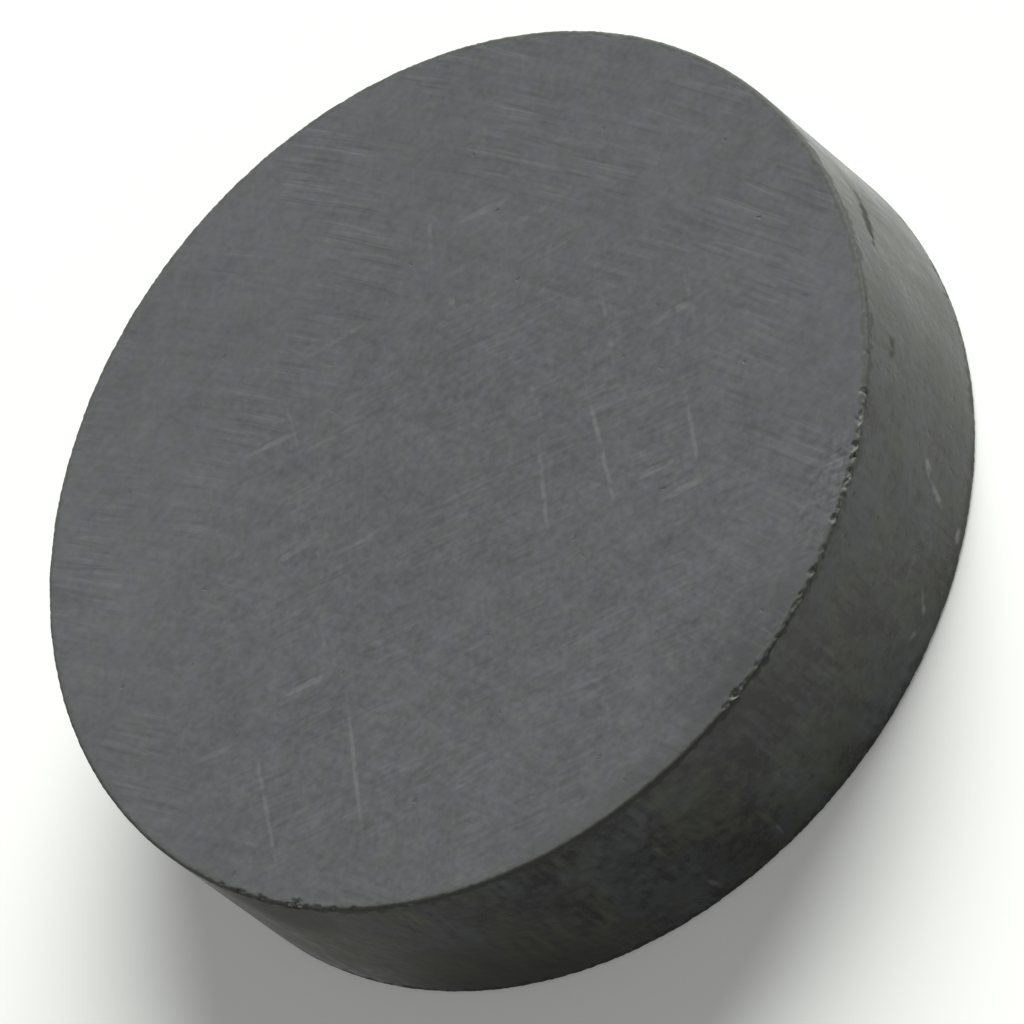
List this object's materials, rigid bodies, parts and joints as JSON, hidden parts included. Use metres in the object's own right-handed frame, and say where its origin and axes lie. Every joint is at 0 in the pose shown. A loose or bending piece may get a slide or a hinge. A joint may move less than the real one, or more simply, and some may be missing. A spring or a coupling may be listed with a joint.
{
  "type": "disc magnet",
  "caption": "Plain round ferrite disc magnet with two ground flat pole faces, a straight sintered side wall and lightly chipped rims.",
  "frame": {"origin": "centre of the lower pole face, which the disc rests on", "axes": "+Z runs through the thickness from the lower pole face to the upper one; +X and +Y are any two radii at right angles, with the most chipped stretch of the upper rim towards -Y"},
  "size_m": [0.018, 0.018, 0.004],
  "materials": {
    "ferrite": "matte"
  },
  "bodies": {
    "root": {"magnet": "ferrite"}
  },
  "joints": []
}
